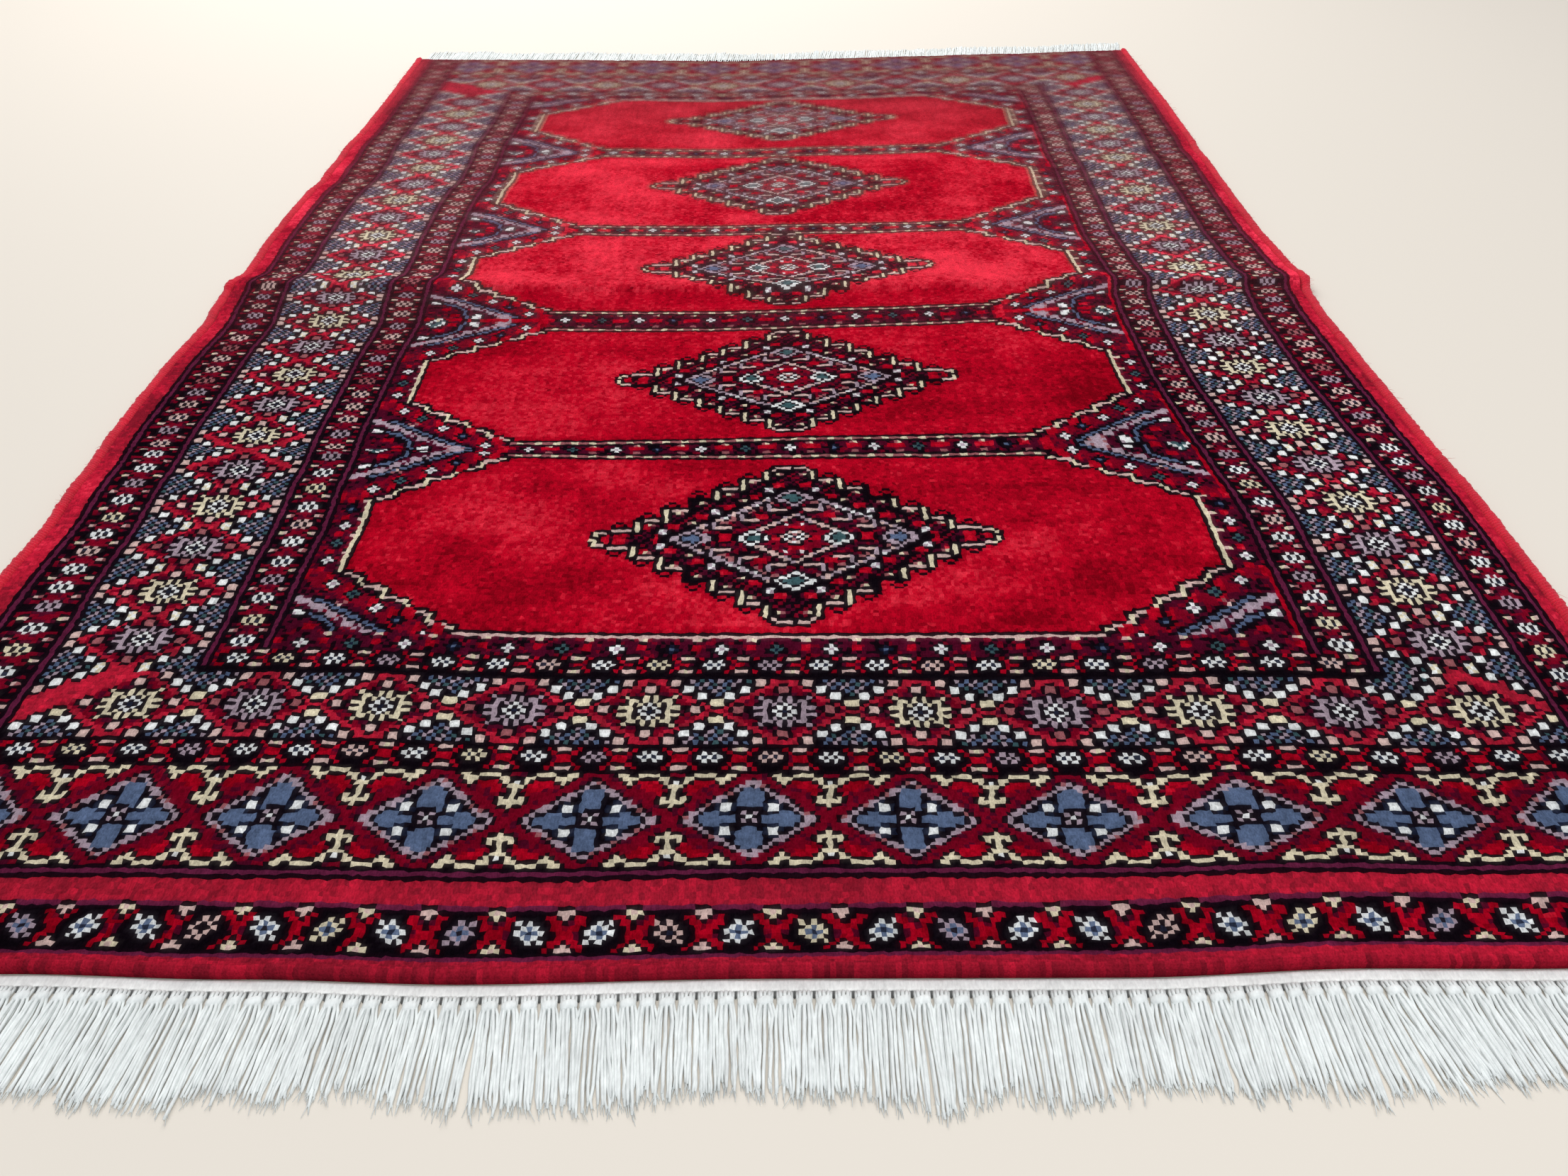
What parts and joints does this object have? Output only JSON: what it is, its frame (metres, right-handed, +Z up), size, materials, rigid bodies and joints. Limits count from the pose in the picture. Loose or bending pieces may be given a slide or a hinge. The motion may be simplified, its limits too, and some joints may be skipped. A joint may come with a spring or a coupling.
{
  "type": "bokhara rug",
  "caption": "Hand-knotted wool pile rug lying flat, with octagon compartments and stepped medallions, overcast side edges and knotted white tassel fringe at each end.",
  "frame": {"origin": "on the floor under the middle of the whole rug, fringes included", "axes": "+X across the rug, +Y along it from the near end to the far end, +Z up from the floor through the pile"},
  "size_m": [0.9604, 1.5404, 0.012],
  "materials": {
    "pile": "short matt wool pile, crimson with dark maroon, navy, slate, lilac and ivory knots",
    "selvedge": "bright red wool wrapped round the side warps",
    "cotton": "white cotton web and twisted cotton yarns"
  },
  "bodies": {
    "root": {"rug": "pile", "selvedge_left": "selvedge", "selvedge_right": "selvedge", "fringe_near": "cotton", "fringe_far": "cotton"}
  },
  "joints": []
}
